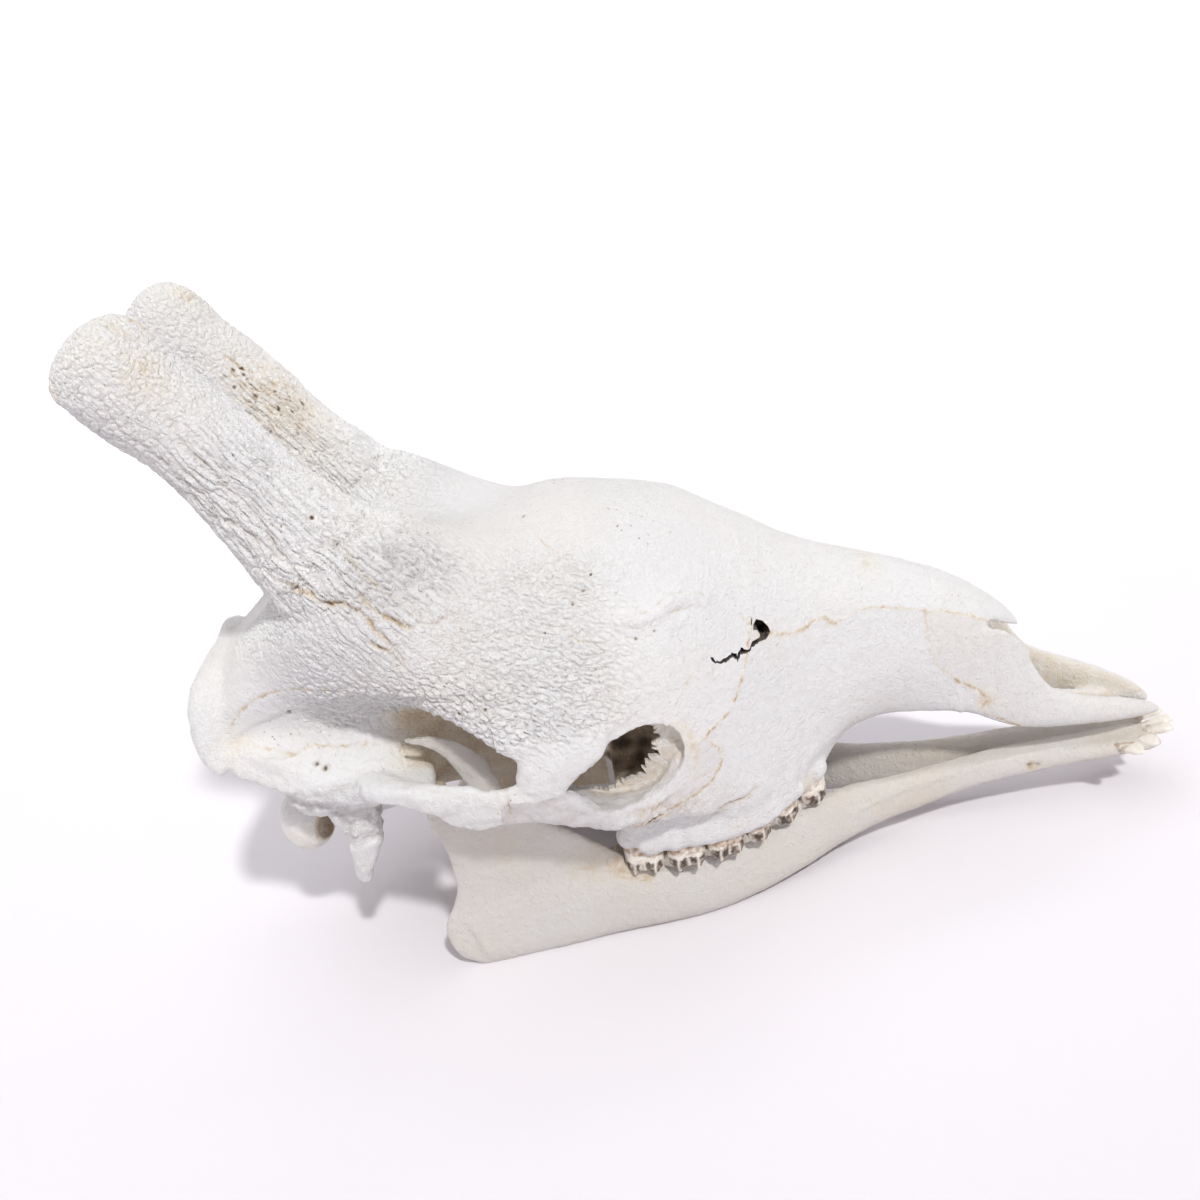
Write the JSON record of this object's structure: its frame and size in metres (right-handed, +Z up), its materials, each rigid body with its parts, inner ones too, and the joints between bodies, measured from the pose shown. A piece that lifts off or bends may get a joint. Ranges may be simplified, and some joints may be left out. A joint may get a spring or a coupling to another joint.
{
  "type": "giraffe skull",
  "caption": "Life-size giraffe skull with ossicones, open eye sockets, cheek teeth and lower jaw, resting on the jaw.",
  "frame": {"origin": "centre of the whole skull's box, on the floor that the jaw rests on", "axes": "+X forward to the muzzle, +Y to the animal's left, +Z up"},
  "size_m": [0.6572, 0.2454, 0.4526],
  "materials": {
    "cranium_bone": "dry cream-white bone, finely pitted, with brown stains in the sutures",
    "horn_bone": "dry cream bone, pebbled and cracked, brown in the pits",
    "cheek_bone": "dry cream bone, smooth, slightly yellow",
    "nasal_bone": "pale smooth bone",
    "maxilla_bone": "smooth satin bone with cream teeth, stained brown at the gum",
    "premaxilla_bone": "smooth satin bone, faintly yellow",
    "jaw_bone": "smooth satin bone, faintly yellow, with cream teeth stained brown at the gum"
  },
  "bodies": {
    "root": {"cranium": "cranium_bone", "ossicone_left": "horn_bone", "ossicone_right": "horn_bone", "zygomatic_left": "cheek_bone", "zygomatic_right": "cheek_bone", "nasal_left": "nasal_bone", "nasal_right": "nasal_bone", "maxilla_left": "maxilla_bone", "maxilla_right": "maxilla_bone", "premaxilla_left": "premaxilla_bone", "premaxilla_right": "premaxilla_bone", "mandible_left": "jaw_bone", "mandible_right": "jaw_bone"}
  },
  "joints": []
}
